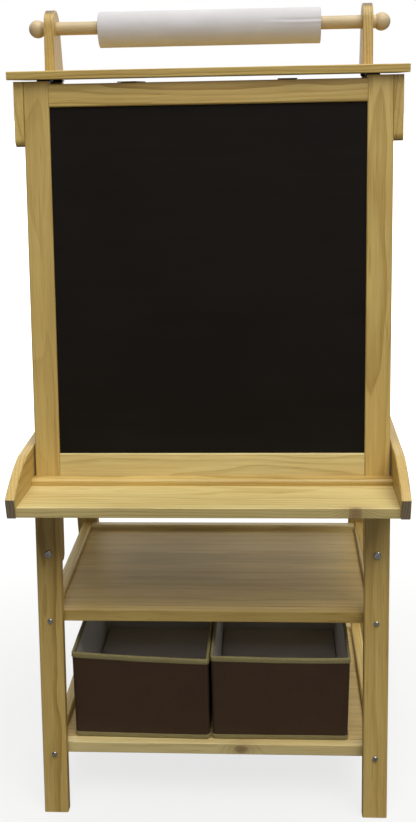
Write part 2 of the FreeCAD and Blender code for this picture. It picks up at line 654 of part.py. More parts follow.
def tie_plates():
    """Steel strips screwed across the two top rails, which hold the frames together."""
    plates = []
    face, _ = on_slope(FRONT, TOP_RAIL_TOP / COS, 2.0)
    for sign in (-1, 1):
        x0, x1 = span(sign, TIE_CENTRE - TIE_WIDTH / 2, TIE_CENTRE + TIE_WIDTH / 2)
        plates.append(block(x0, x1, face, -face, TOP_RAIL_TOP, TOP_RAIL_TOP + TIE_THICK))
    places = []
    for sign in (-1, 1):
        for side in (FRONT, REAR):
            for offset in (-7.0, 7.0):
                y, _ = on_slope(side, TOP_RAIL_TOP / COS, STILE_THICK / 2)
                point = V(sign * TIE_CENTRE + offset, y, TOP_RAIL_TOP + TIE_THICK)
                places.append((16.0, point, V(0, 0, -1)))
    parts["rail_tie_plates"] = Part.makeCompound(plates)
    return places


def build():
    pegs = []
    for side in (FRONT, REAR):
        pegs += board_frame(side)
        legs(side)
        tray(side)
    side_boards()
    parts["frame_dowels"] = Part.makeCompound(pegs)
    shelf("middle", MIDDLE_SHELF_TOP)
    shelf("bottom", BOTTOM_SHELF_TOP)
    top()
    paper_roll()
    for name, x0 in BIN_LEFTS.items():
        fabric_bin(name, x0)
    stile_bolts()
    shelf_bolts()
    gusset_screws()
    tray_screws()
    board_hinges()
    screw_group("top_screws", tie_plates() + bracket_screws(),
                ["rail_tie_plates", "front_top_rail", "rear_top_rail",
                 "top_board", "left_roll_bracket", "right_roll_bracket"])


build()
for name, shape in parts.items():
    if not shape.isValid():
        print("not valid:", name)
    shape.exportStep("parts/%s.step" % name)
print(len(parts), "parts written")
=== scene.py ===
"""Looks of the children's easel: timber, boards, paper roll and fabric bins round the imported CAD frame."""
import math
import random

import bpy
from mathutils import Matrix, Vector, noise


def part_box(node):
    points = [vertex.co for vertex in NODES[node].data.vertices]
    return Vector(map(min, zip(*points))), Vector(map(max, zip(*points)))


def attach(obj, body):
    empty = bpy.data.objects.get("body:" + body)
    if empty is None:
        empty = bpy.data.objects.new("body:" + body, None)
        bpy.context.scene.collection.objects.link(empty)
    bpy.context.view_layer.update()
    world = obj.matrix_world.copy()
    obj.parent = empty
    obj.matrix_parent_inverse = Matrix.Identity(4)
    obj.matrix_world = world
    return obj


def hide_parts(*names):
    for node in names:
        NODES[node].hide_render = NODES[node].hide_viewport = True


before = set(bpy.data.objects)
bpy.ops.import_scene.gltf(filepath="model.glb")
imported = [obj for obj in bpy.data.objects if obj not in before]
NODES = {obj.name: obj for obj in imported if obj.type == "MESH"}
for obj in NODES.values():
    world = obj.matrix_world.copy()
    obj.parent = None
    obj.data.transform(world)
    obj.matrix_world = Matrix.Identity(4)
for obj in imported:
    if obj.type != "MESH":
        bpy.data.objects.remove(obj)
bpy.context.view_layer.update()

MM = 0.001
LEAN = math.radians(8.0)

# --- camera, light and floor --------------------------------------------------------------------
CAMERA_PLACE = Vector((0.0952, -1.7517, 1.1051))
CAMERA_PITCH = math.radians(16.228)
CAMERA_YAW = math.radians(-3.491)
CAMERA_ROLL = math.radians(-1.152)
CAMERA_LENS_MM = 49.0
FLOOR_SIZE = 80.0
FLOOR_TONE = (0.14, 0.14, 0.135)
FLOOR_FADE = 3.0
FLOOR_LIFT = 0.76
WORLD_FRONT = 0.045
WORLD_BACK = 1.0
KEY_DIRECTION = (0.20, -0.33, 1.10)
KEY_STRENGTH = 2.7
KEY_SPREAD = math.radians(60)


def make_camera():
    data = bpy.data.cameras.new("camera")
    data.lens = CAMERA_LENS_MM
    data.sensor_width = 36.0
    data.clip_start = 0.05
    camera = bpy.data.objects.new("camera", data)
    turn = Matrix.Rotation(-CAMERA_YAW, 4, "Z")
    tilt = Matrix.Rotation(math.pi / 2 - CAMERA_PITCH, 4, "X")
    roll = Matrix.Rotation(CAMERA_ROLL, 4, "Z")
    camera.matrix_world = Matrix.Translation(CAMERA_PLACE) @ turn @ tilt @ roll
    bpy.context.scene.collection.objects.link(camera)
    bpy.context.scene.camera = camera


def make_light(name, place, aim, size, power, colour=(1.0, 1.0, 1.0)):
    data = bpy.data.lights.new(name, "AREA")
    data.shape = "RECTANGLE"
    data.size, data.size_y = size
    data.energy = power
    data.color = colour
    light = bpy.data.objects.new(name, data)
    light.location = place
    light.rotation_euler = (Vector(aim) - Vector(place)).to_track_quat("-Z", "Y").to_euler()
    bpy.context.scene.collection.objects.link(light)


def make_key_light(direction, strength, spread):
    data = bpy.data.lights.new("key", "SUN")
    data.energy = strength
    data.angle = spread
    light = bpy.data.objects.new("key", data)
    light.rotation_euler = Vector(direction).to_track_quat("Z", "Y").to_euler()
    bpy.context.scene.collection.objects.link(light)


def make_world():
    """A dark studio in front, a lit wall behind, and plain white wherever the camera sees past it all."""
    world = bpy.data.worlds.new("studio")
    world.use_nodes = True
    kit = Nodes(world.node_tree)
    direction = kit.split(kit.add("ShaderNodeTexCoord").outputs["Generated"])
    backward = kit.math("MAXIMUM", kit.math("MULTIPLY", direction[1], 1.4), 0.0)
    behind = kit.math("SMOOTH_MIN", backward, 1.0, 0.2)
    glow = kit.math("ADD", kit.math("MULTIPLY", behind, WORLD_BACK - WORLD_FRONT), WORLD_FRONT)
    seen = kit.add("ShaderNodeLightPath").outputs["Is Camera Ray"]
    strength = kit.math("ADD", kit.math("MULTIPLY", seen, kit.math("SUBTRACT", 1.0, glow)), glow)
    background = world.node_tree.nodes["Background"]
    background.inputs["Color"].default_value = (1.0, 1.0, 1.0, 1.0)
    kit.feed(background.inputs["Strength"], strength)
    bpy.context.scene.world = world


def make_floor():
    """Pale floor that fades into the white background away from the easel."""
    mesh = bpy.data.meshes.new("floor")
    half = FLOOR_SIZE / 2
    corners = [(-half, -half, 0.0), (half, -half, 0.0), (half, half, 0.0), (-half, half, 0.0)]
    mesh.from_pydata(corners, [], [(0, 1, 2, 3)])
    floor = bpy.data.objects.new("floor", mesh)
    bpy.context.scene.collection.objects.link(floor)
    paint = Paint("floor_paint")
    vein = paint.noise(paint.coords(), 3.0, detail=2)
    paint.set("Base Color", paint.ramp(vein, [(0.3, FLOOR_TONE), (0.7, FLOOR_TONE)]))
    paint.set("Roughness", 0.9)
    paint.set("Emission Color", (1.0, 1.0, 1.0))
    away = paint.vector("LENGTH", paint.coords())
    fade = paint.ramp(paint.math("DIVIDE", away, FLOOR_FADE), [(0.12, 0.0), (1.0, 1.0)], "EASE")
    seen = paint.add("ShaderNodeLightPath").outputs["Is Camera Ray"]
    glow = paint.math("ADD", paint.math("MULTIPLY", fade, 0.8), FLOOR_LIFT)
    paint.set("Emission Strength", paint.math("MULTIPLY", seen, glow))
    mesh.materials.append(paint.material)


# --- material nodes -----------------------------------------------------------------------------
class Nodes:
    """Adds shader nodes to a tree by short calls; each call returns an output socket."""

    def __init__(self, tree):
        self.tree = tree

    def add(self, kind, **settings):
        made = self.tree.nodes.new(kind)
        for key, value in settings.items():
            setattr(made, key, value)
        return made

    def feed(self, socket, value):
        if isinstance(value, bpy.types.NodeSocket):
            self.tree.links.new(value, socket)
        elif isinstance(value, tuple) and len(value) == 3 and socket.type == "RGBA":
            socket.default_value = (*value, 1.0)
        else:
            socket.default_value = value

    def math(self, operation, *values, clamp=False):
        made = self.add("ShaderNodeMath", operation=operation, use_clamp=clamp)
        for socket, value in zip(made.inputs, values):
            self.feed(socket, value)
        return made.outputs[0]

    def vector(self, operation, *values):
        made = self.add("ShaderNodeVectorMath", operation=operation)
        for socket, value in zip(made.inputs, values):
            self.feed(socket, value)
        return made.outputs["Value" if operation in ("LENGTH", "DOT_PRODUCT", "DISTANCE") else "Vector"]

    def mapping(self, vector, location=(0, 0, 0), rotation=(0, 0, 0), scale=(1, 1, 1)):
        made = self.add("ShaderNodeMapping")
        self.feed(made.inputs["Vector"], vector)
        made.inputs["Location"].default_value = location
        made.inputs["Rotation"].default_value = rotation
        made.inputs["Scale"].default_value = scale
        return made.outputs["Vector"]

    def noise(self, vector, scale, detail=3.0, rough=0.5, distortion=0.0):
        made = self.add("ShaderNodeTexNoise")
        self.feed(made.inputs["Vector"], vector)
        made.inputs["Scale"].default_value = scale
        made.inputs["Detail"].default_value = detail
        made.inputs["Roughness"].default_value = rough
        made.inputs["Distortion"].default_value = distortion
        return made.outputs["Fac"]

    def ramp(self, factor, stops, interpolation="LINEAR"):
        made = self.add("ShaderNodeValToRGB")
        self.feed(made.inputs["Fac"], factor)
        made.color_ramp.interpolation = interpolation
        elements = made.color_ramp.elements
        while len(elements) < len(stops):
            elements.new(0.5)
        for element, (position, colour) in zip(elements, stops):
            element.position = position
            element.color = (*colour, 1.0) if isinstance(colour, tuple) else (colour, colour, colour, 1.0)
        return made.outputs["Color"]

    def mix(self, factor, a, b, blend="MIX"):
        made = self.add("ShaderNodeMix", data_type="RGBA", blend_type=blend)
        self.feed(made.inputs["Factor"], factor)
        self.feed(made.inputs["A"], a)
        self.feed(made.inputs["B"], b)
        return made.outputs["Result"]

    def split(self, vector):
        made = self.add("ShaderNodeSeparateXYZ")
        self.feed(made.inputs[0], vector)
        return made.outputs

    def join(self, x, y, z):
        made = self.add("ShaderNodeCombineXYZ")
        for socket, value in zip(made.inputs, (x, y, z)):
            self.feed(socket, value)
        return made.outputs[0]

    def bump(self, height, strength, distance):
        made = self.add("ShaderNodeBump")
        self.feed(made.inputs["Height"], height)
        made.inputs["Strength"].default_value = strength
        made.inputs["Distance"].default_value = distance
        return made.outputs["Normal"]


class Paint(Nodes):
    """A material with one Principled shader."""

    def __init__(self, name):
        self.material = bpy.data.materials.new(name)
        self.material.use_nodes = True
        super().__init__(self.material.node_tree)
        self.tree.nodes.clear()
        self.shader = self.add("ShaderNodeBsdfPrincipled")
        output = self.add("ShaderNodeOutputMaterial")
        self.tree.links.new(self.shader.outputs[0], output.inputs["Surface"])

    def set(self, name, value):
        self.feed(self.shader.inputs[name], value)

    def coords(self, kind="Object"):
        return self.add("ShaderNodeTexCoord").outputs[kind]


# --- timber -------------------------------------------------------------------------------------
def make_timber_group():
    """Sawn pine. Vector holds metres, x along the grain and y through the board's thickness."""
    tree = bpy.data.node_groups.new("sawn_pine", "ShaderNodeTree")
    inputs = (("Vector", "NodeSocketVector", None), ("Ring spacing", "NodeSocketFloat", 0.004),
              ("Heart", "NodeSocketVector", None), ("Light", "NodeSocketColor", None),
              ("Dark", "NodeSocketColor", None), ("Contrast", "NodeSocketFloat", 1.0),
              ("Knot", "NodeSocketVector", None), ("Knot radius", "NodeSocketFloat", 0.0),
              ("End grain", "NodeSocketFloat", 0.0))
    for name, kind, start in inputs:
        socket = tree.interface.new_socket(name, in_out="INPUT", socket_type=kind)
        if start is not None:
            socket.default_value = start
    tree.interface.new_socket("Color", in_out="OUTPUT", socket_type="NodeSocketColor")
    tree.interface.new_socket("Roughness", in_out="OUTPUT", socket_type="NodeSocketFloat")
    tree.interface.new_socket("Height", in_out="OUTPUT", socket_type="NodeSocketFloat")
    kit = Nodes(tree)
    given = kit.add("NodeGroupInput").outputs
    place = given["Vector"]

    # a knot pushes the growth rings round itself
    x, _, z = kit.split(kit.vector("SUBTRACT", place, given["Knot"]))
    knot_distance = kit.vector("LENGTH", kit.join(kit.math("MULTIPLY", x, 0.75), 0.0, z))
    knot_radius = kit.math("MAXIMUM", given["Knot radius"], 0.0001)
    knot_reach = kit.math("DIVIDE", knot_distance, knot_radius)
    reach_squared = kit.math("MULTIPLY", knot_reach, knot_reach)
    knot_push = kit.math("EXPONENT", kit.math("MULTIPLY", reach_squared, -0.22))
    push = kit.math("MULTIPLY", kit.math("MULTIPLY", knot_push, knot_radius), 1.6)

    # growth rings round the tree's heart, which lies off the board
    sway = kit.noise(kit.mapping(place, scale=(1.6, 7.0, 7.0)), 1.0, detail=3, rough=0.55)
    ripple = kit.noise(kit.mapping(place, scale=(9.0, 45.0, 45.0)), 1.0, detail=2)
    from_heart = kit.vector("SUBTRACT", place, given["Heart"])
    _, heart_y, heart_z = kit.split(from_heart)
    radius = kit.vector("LENGTH", kit.join(0.0, heart_y, heart_z))
    wander = kit.math("MULTIPLY", kit.math("SUBTRACT", sway, 0.5), 0.030)
    shiver = kit.math("MULTIPLY", kit.math("SUBTRACT", ripple, 0.5), 0.0022)
    radius = kit.math("ADD", kit.math("ADD", radius, wander), kit.math("ADD", shiver, push))
    turns = kit.math("DIVIDE", radius, given["Ring spacing"])
    phase = kit.math("FRACT", turns)
    year = kit.add("ShaderNodeTexWhiteNoise", noise_dimensions="1D")
    kit.feed(year.inputs["W"], kit.math("FLOOR", turns))
    late = kit.ramp(phase, [(0.0, 0.10), (0.45, 0.22), (0.80, 0.80), (0.93, 1.0), (1.0, 0.10)], "EASE")
    year_strength = kit.math("ADD", kit.math("MULTIPLY", year.outputs["Value"], 0.75), 0.25)
    ring = kit.math("MULTIPLY", kit.math("MULTIPLY", late, year_strength), given["Contrast"])

    # fibres, slow changes of tone and short resin lines
    fibre = kit.noise(kit.mapping(place, scale=(14.0, 900.0, 900.0)), 1.0, detail=2, rough=0.6)
    streak = kit.noise(kit.mapping(place, scale=(2.5, 120.0, 120.0)), 1.0, detail=3, rough=0.6)
    tone = kit.noise(kit.mapping(place, scale=(3.0, 14.0, 14.0)), 1.0, detail=2)
    resin = kit.noise(kit.mapping(place, location=(3.1, 1.7, 0.4), scale=(18.0, 420.0, 420.0)), 1.0, detail=1)
    resin = kit.ramp(resin, [(0.66, 0.0), (0.74, 1.0)])
    shade = kit.math("ADD", kit.math("MULTIPLY", ring, 0.90), kit.math("MULTIPLY", streak, 0.42))
    shade = kit.math("ADD", shade, kit.math("MULTIPLY", kit.math("SUBTRACT", fibre, 0.5), 0.95))
    shade = kit.math("ADD", shade, kit.math("MULTIPLY", kit.math("SUBTRACT", tone, 0.5), 1.2))
    shade = kit.math("ADD", shade, kit.math("MULTIPLY", resin, 0.34), clamp=True)
    wood = kit.mix(shade, given["Light"], given["Dark"])
    blush = kit.noise(kit.mapping(place, location=(7.7, 2.1, 5.2), scale=(5.0, 30.0, 30.0)), 1.0, detail=3)
    blush = kit.ramp(blush, [(0.45, 0.0), (0.75, 0.30)])
    wood = kit.mix(blush, wood, kit.mix(1.0, wood, (1.04, 0.86, 0.72), "MULTIPLY"))

    # the knot itself
    knot_grain = kit.math("SINE", kit.math("MULTIPLY", knot_reach, 24.0))
    knot_tint = kit.math("ADD", kit.math("MULTIPLY", knot_grain, 0.12), 0.45)
    knot_colour = kit.mix(knot_tint, (0.34, 0.205, 0.085), (0.17, 0.090, 0.038))
    knot_edge = kit.math("ADD", knot_reach, kit.math("MULTIPLY", kit.math("SUBTRACT", ripple, 0.5), 0.9))
    knot_mask = kit.ramp(knot_edge, [(0.35, 0.80), (0.95, 0.42), (1.35, 0.0)])
    halo = kit.ramp(kit.math("MULTIPLY", knot_edge, 0.3), [(0.25, 0.34), (1.0, 0.0)])
    wood = kit.mix(halo, wood, (0.36, 0.22, 0.085))
    wood = kit.mix(knot_mask, wood, knot_colour)

    # end grain drinks the lacquer and looks darker
    end_tone = kit.mix(kit.math("MULTIPLY", late, 0.8), (0.30, 0.23, 0.145), (0.145, 0.105, 0.068))
    wood = kit.mix(given["End grain"], wood, end_tone)

    rough = kit.math("ADD", kit.math("MULTIPLY", fibre, 0.16), 0.36)
    rough = kit.math("ADD", rough, kit.math("MULTIPLY", given["End grain"], 0.25))
    height = kit.math("ADD", kit.math("MULTIPLY", ring, 0.5), kit.math("MULTIPLY", fibre, 0.6))
    done = kit.add("NodeGroupOutput").inputs
    kit.feed(done["Color"], wood)
    kit.feed(done["Roughness"], rough)
    kit.feed(done["Height"], height)
    return tree


PINE_LIGHT = (0.715, 0.525, 0.170)
PINE_DARK = (0.41, 0.252, 0.052)


def timber(name, grain, thickness, seed, light=PINE_LIGHT, dark=PINE_DARK, spacing=0.0042,
           contrast=1.0, heart=None, knot=None, knot_radius=0.0, end_grain=1.0, lacquer=0.12, shine=0.5):
    """Pine with its grain along one row axis and its flat face square to another."""
    luck = random.Random(seed)
    grain, thickness = Vector(grain).normalized(), Vector(thickness).normalized()
    width = grain.cross(thickness)
    axes = Matrix((grain, thickness, width))
    paint = Paint(name)
    offset = Vector((luck.uniform(2, 9), luck.uniform(-0.02, 0.02), luck.uniform(-0.02, 0.02)))
    place = paint.mapping(paint.coords(), location=offset, rotation=axes.to_euler())
    made = paint.add("ShaderNodeGroup", node_tree=TIMBER)
    paint.feed(made.inputs["Vector"], place)
    made.inputs["Ring spacing"].default_value = spacing * luck.uniform(0.85, 1.25)
    made.inputs["Light"].default_value = (*light, 1.0)
    made.inputs["Dark"].default_value = (*dark, 1.0)
    made.inputs["Contrast"].default_value = contrast * luck.uniform(0.7, 1.1)
    middle = axes @ Vector(heart) if heart is not None else Vector((0, 0, 0))
    depth = luck.uniform(0.05, 0.11) * luck.choice((-1, 1))
    made.inputs["Heart"].default_value = middle + offset + Vector((0, depth, luck.uniform(-0.025, 0.025)))
    if knot is not None:
        made.inputs["Knot"].default_value = axes @ Vector(knot) + offset
    else:
        made.inputs["Knot"].default_value = (0.0, 50.0, 50.0)
    made.inputs["Knot radius"].default_value = knot_radius
    facing = paint.vector("DOT_PRODUCT", paint.coords("Normal"), tuple(grain))
    end = paint.ramp(paint.math("ABSOLUTE", facing), [(0.72, 0.0), (0.90, end_grain)])
    paint.feed(made.inputs["End grain"], end)
    paint.set("Base Color", made.outputs["Color"])
    paint.set("Roughness", made.outputs["Roughness"])
    paint.set("Normal", paint.bump(made.outputs["Height"], 0.22, 0.0004))
    paint.set("Specular IOR Level", shine)
    paint.set("Coat Weight", lacquer)
    paint.set("Coat Roughness", 0.30)
    return paint.material


def coat(node, material):
    """Gives a CAD node its material."""
    mesh = NODES[node].data
    mesh.materials.clear()
    mesh.materials.append(material)
    for face in mesh.polygons:
        face.material_index = 0


def centre(node):
    low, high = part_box(node)
    return (low + high) / 2


UP, ACROSS, DEEP = (0, 0, 1), (1, 0, 0), (0, 1, 0)
# Paler and darker copies of the pine, set piece by piece to how bright each looks. This is partly the boards'
# own tone and partly painted light and shade: painted light on the brighter pieces (tray planks, bottom
# rails, shelf rails), painted shade on the darker ones (legs, front left stile, back bar, tray side boards).
PALE_BOARD_PAINTED_LIGHT = ((0.78, 0.64, 0.285), (0.48, 0.345, 0.105))
PALE_RAIL_PAINTED_LIGHT = ((0.88, 0.73, 0.35), (0.58, 0.43, 0.17))
DEEP_BOARD_PAINTED_SHADE = ((0.665, 0.482, 0.158), (0.375, 0.232, 0.050))
TONE_AND_PAINTED_LIGHT_TINTS = {"tray_plank": PALE_BOARD_PAINTED_LIGHT, "_bottom_rail": PALE_BOARD_PAINTED_LIGHT, "shelf_back_rail": PALE_RAIL_PAINTED_LIGHT,
         "bottom_shelf_front_rail": PALE_RAIL_PAINTED_LIGHT, "front_left_stile": DEEP_BOARD_PAINTED_SHADE, "_leg": DEEP_BOARD_PAINTED_SHADE,
         "tray_back_bar": DEEP_BOARD_PAINTED_SHADE, "_tray_side_board": DEEP_BOARD_PAINTED_SHADE}


def dress_timber():
    """One pine material for each board, with its grain along the board."""
    knots = {
        "bottom_shelf_front_rail": (Vector((0.042, 0, 0)), 0.008),
        "front_tray_plank": (Vector((0.21, -0.066, 0)), 0.008),
        "front_right_stile": (Vector((0, 0, -0.30)), 0.006),
        "rear_left_stile": (Vector((0, 0, 0.10)), 0.008),
        "rear_right_leg": (Vector((0, 0, -0.08)), 0.007),
        "rear_tray_plank": (Vector((-0.12, 0, 0)), 0.007),
        "middle_shelf_left_rail": (Vector((0, 0.05, 0)), 0.005),
        "top_board": (Vector((-0.08, 0.01, 0)), 0.008),
    }
    seed = 0
    for node in sorted(NODES):
        seed += 1
        axes = timber_axes(node)
        if axes is None:
            continue
        shift, radius = knots.get(node, (None, 0.0))
        middle = centre(node)
        knot = middle + shift if shift is not None else None
        # Some boards take a paler or darker pine: their own tone plus painted light and shade.
        light, dark = PINE_LIGHT, PINE_DARK
        for ending, tint in TONE_AND_PAINTED_LIGHT_TINTS.items():
            if node.endswith(ending):
                light, dark = tint
        coat(node, timber("pine_" + node, axes[0], axes[1], seed, light, dark, heart=middle,
                          knot=knot, knot_radius=radius))


def timber_axes(node):
    """(grain, thickness) directions of a board, or None for a node that isn't sawn pine."""
    side = 1 if node.startswith("front") else -1
    slope = (0, side * math.sin(LEAN), math.cos(LEAN))
    inward = (0, side * math.cos(LEAN), -math.sin(LEAN))
    if node.endswith(("_stile", "_leg")):
        return slope, inward
    if node.endswith(("top_rail", "bottom_rail")):
        return ACROSS, inward
    if node.endswith(("tray_plank", "tray_back_bar")) or node == "top_board":
        return ACROSS, UP
    if node.endswith(("_side_board", "left_rail", "right_rail")):
        return DEEP, ACROSS
    if node.endswith(("shelf_front_rail", "shelf_back_rail")):
        return ACROSS, DEEP
    if node.endswith("_gusset") or node.endswith("_roll_bracket"):
        return UP, ACROSS
    return None


# --- mesh helpers -------------------------------------------------------------------------------
def make_piece(name, mesh, materials, smooth_angle=math.radians(40)):
    """Links a mesh as an object with its materials, shaded smooth except over sharp edges."""
    piece = bpy.data.objects.new(name, mesh)
    bpy.context.scene.collection.objects.link(piece)
    for material in materials:
        mesh.materials.append(material)
    mesh.shade_smooth()
    mesh.set_sharp_from_angle(angle=smooth_angle)
    return piece


def loft(name, rings, bands=None, caps=False, loop=False):
    """Quads between rings of equal length, with cloth coordinates in metres as the mesh's UVs.

    bands gives a material number for each step between rings; caps close both ends with one face;
    loop joins the last ring to the first.
    """
    count = len(rings[0])
    points = [point for ring in rings for point in ring]
    along = [0.0]
    for k in range(count):
        along.append(along[-1] + (rings[0][(k + 1) % count] - rings[0][k]).length)
    steps = len(rings) if loop else len(rings) - 1
    up = [0.0]
    for j in range(steps):
        gap = sum((rings[(j + 1) % len(rings)][k] - rings[j][k]).length for k in range(0, count, 8))
        up.append(up[-1] + gap / len(range(0, count, 8)))
    faces, places, slots = [], [], []
    for j in range(steps):
        low, high = j * count, ((j + 1) % len(rings)) * count
        for k in range(count):
            after = (k + 1) % count
            faces.append((low + k, low + after, high + after, high + k))
            places += [(along[k], up[j]), (along[k + 1], up[j])]
            places += [(along[k + 1], up[j + 1]), (along[k], up[j + 1])]
            slots.append(bands[j] if bands else 0)
    if caps:
        last = (len(rings) - 1) * count
        for face in (tuple(reversed(range(count))), tuple(range(last, last + count))):
            faces.append(face)
            places += [(points[k].x, points[k].y) for k in face]
            slots.append(slots[0] if face[0] == count - 1 else slots[-1])
    mesh = bpy.data.meshes.new(name)
    mesh.from_pydata(points, [], faces)
    cloth = mesh.uv_layers.new(name="cloth")
    cloth.data.foreach_set("uv", [number for place in places for number in place])
    mesh.polygons.foreach_set("material_index", slots)
    mesh.update()
    return mesh


# --- fabric bins --------------------------------------------------------------------------------
CLOTH_STEP = 4.5 * MM
CORNER_STEPS = 6
PANEL_BOW = 1.3 * MM
LINING_BOW = 1.6 * MM
SEAM_DEPTH = 0.7 * MM
TAPE_THICK = 0.8 * MM
TAPE_HEIGHT = 8.6 * MM
FOOT_TAPE_HEIGHT = 8.0 * MM
WALL = 4.0 * MM
OUTER_CORNER = 6.0 * MM
INNER_CORNER = 2.0 * MM
STITCH_PITCH = 4.2 * MM
STITCH_LENGTH = 2.7 * MM
STITCH_RADIUS = 0.32 * MM


class Bin:
    """The room one bin has, its crooked stance, and its outline at any height."""

    def __init__(self, side, foot_skew, rim_skew, rim_tilt, rim_dip, flare, drift, seed):
        self.side, self.foot_skew, self.rim_skew = side, foot_skew, rim_skew
        self.rim_tilt, self.rim_dip = rim_tilt, rim_dip
        self.flare, self.drift = flare, drift
        low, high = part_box(side + "_bin_shell")
        self.x, self.y = (low.x + high.x) / 2, (low.y + high.y) / 2
        self.half_x, self.half_y = (high.x - low.x) / 2, (high.y - low.y) / 2
        self.foot, self.rim = low.z, high.z
        self.height = high.z - low.z
        self.luck = Vector((seed * 3.7, seed * 1.9, seed * 5.3))

    def outline(self, inset, corner):
        """Points, outward normals and side shares (0 to 1, or None in a corner) round the bin."""
        half_x, half_y = self.half_x - inset, self.half_y - inset
        flat_x, flat_y = 2 * (half_x - corner), 2 * (half_y - corner)
        made = []
        turns = ((1, -1), (1, 1), (-1, 1), (-1, -1))
        for number, (sx, sy) in enumerate(turns):
            start = math.radians(-90 + 90 * number)
            for k in range(CORNER_STEPS):
                angle = start + math.radians(90) * k / CORNER_STEPS
                normal = Vector((math.cos(angle), math.sin(angle), 0))
                middle = Vector((sx * (half_x - corner), sy * (half_y - corner), 0))
                made.append((middle + normal * corner, normal, None))
            flat = flat_y if number % 2 == 0 else flat_x
            steps = max(round(2 * (self.half_y if number % 2 == 0 else self.half_x) / CLOTH_STEP), 4)
            angle = start + math.radians(90)
            normal = Vector((math.cos(angle), math.sin(angle), 0))
            way = Vector((-normal.y, normal.x, 0))
            begin = Vector((sx * (half_x - corner), sy * (half_y - corner), 0)) + normal * corner
            for k in range(steps):
                made.append((begin + way * flat * k / steps, normal, k / steps))
        return made

    def settle(self, point):
        """Moves a point of the square bin to where the crooked one has it."""
        front = min(max((self.half_y - point.y) / (2 * self.half_y), 0.0), 1.0)
        share = min(max((point.z - self.foot) / self.height, 0.0), 1.0)
        across = point.x / self.half_x
        skew = self.foot_skew + (self.rim_skew - self.foot_skew) * share
        y = point.y - skew * across * front ** 3
        x = point.x * (1 + self.flare / self.half_x * (2 * share - 1)) + self.drift * share
        x += 0.8 * MM * math.sin(3.0 * share + self.luck.x) * (1 - front)
        middle = max(1 - across ** 2, 0.0) * front ** 6
        z = point.z - self.rim_dip * share ** 4 * middle - self.rim_tilt * share * across * front ** 2
        return Vector((self.x + x, self.y + y, z))

    def ring(self, z, inset, corner, bow=0.0, seam=0.0, rough=0.0):
        """One ring of the wall: bowed between its corners, with a seam at each panel's edge."""
        share = min(max((z - self.foot) / self.height, 0.0), 1.0)
        belly = math.sin(math.pi * share) ** 0.7 if 0 < share < 1 else 0.0
        made = []
        for point, normal, flat in self.outline(inset, corner):
            push = 0.0
            if flat is not None:
                push += bow * belly * math.sin(math.pi * flat)
                from_edge = min(flat, 1 - flat) * 2 * self.half_x
                push -= seam * belly * math.exp(-((from_edge / (3.0 * MM) - 1.2) ** 2))
            place = Vector((point.x, point.y, z))
            wave = noise.fractal(place * 22 + self.luck, 0.8, 2.0, 3)
            crease = noise.noise(Vector((place.x * 30, place.y * 30, place.z * 9)) + self.luck)
            push += rough * belly * (wave + 0.5 * crease)
            made.append(self.settle(place + normal * push))
        return made


def bin_shell(bin_room, outside, lining):
    """Closed shell: brown cloth outside, grey lining inside, over stiff card."""
    foot, rim = bin_room.foot, bin_room.rim
    proud = TAPE_THICK
    rows = round(bin_room.height / CLOTH_STEP)
    rings = [bin_room.ring(foot, proud + 2.0 * MM, OUTER_CORNER - 2.0 * MM)]
    for k in range(rows + 1):
        z = foot + 0.8 * MM + (bin_room.height - 1.8 * MM) * k / rows
        rings.append(bin_room.ring(z, proud, OUTER_CORNER, PANEL_BOW, SEAM_DEPTH, 0.35 * MM))
    outer_bands = len(rings)
    floor = foot + WALL
    for k in range(rows + 1):
        z = rim - 1.0 * MM - (rim - 1.0 * MM - floor) * k / rows
        rings.append(bin_room.ring(z, WALL, INNER_CORNER, -LINING_BOW * 0.3, -0.3 * MM, 0.45 * MM))
    bands = [0] * outer_bands + [1] * (len(rings) - 1 - outer_bands)
    mesh = loft(bin_room.side + "_bin_cloth", rings, bands, caps=True)
    return make_piece(bin_room.side + "_bin_cloth", mesh, [outside, lining])


def tape_ring(bin_room, profile, wobble):
    """Lofts a tape's section, given as (inset, height, corner) points, round the bin."""
    rings = []
    for inset, z, corner in profile:
        ring = bin_room.ring(z, inset, corner)
        rings.append([point + Vector((0, 0, wobble(point))) for point in ring])
    return rings


def rim_tape(bin_room, material):
    """Binding tape folded over the top edge of the wall."""
    rim, down = bin_room.rim, bin_room.rim - TAPE_HEIGHT
    t, w = TAPE_THICK, WALL
    out, mid = OUTER_CORNER, (OUTER_CORNER + INNER_CORNER) / 2
    section = [(0.25 * t, down, out), (-0.1 * t, down + 0.5 * MM, out),
               (-0.15 * t, down + TAPE_HEIGHT / 2, out), (0.0, rim - 1.4 * MM, out),
               (0.5 * MM, rim - 0.45 * MM, out), (1.3 * MM, rim, out - 1 * MM),
               (w - 1.0 * MM, rim, mid), (w + 0.1 * MM, rim - 0.5 * MM, INNER_CORNER + 0.4 * MM),
               (w + t, rim - 1.5 * MM, INNER_CORNER), (w + t, down + 1.2 * MM, INNER_CORNER),
               (w + 0.3 * t, down + 0.8 * MM, INNER_CORNER), (w - 0.4 * MM, down + 0.9 * MM, INNER_CORNER),
               (w - 0.6 * MM, rim - 1.8 * MM, INNER_CORNER), (1.8 * MM, rim - 1.8 * MM, out - 1 * MM),
               (1.4 * MM, down + 0.3 * MM, out - 1 * MM)]

    def wobble(point):
        return 0.35 * MM * noise.noise(point * 28 + bin_room.luck)

    mesh = loft(bin_room.side + "_bin_rim_tape", tape_ring(bin_room, section, wobble), loop=True)
    return make_piece(bin_room.side + "_bin_rim_tape", mesh, [material], math.radians(60))


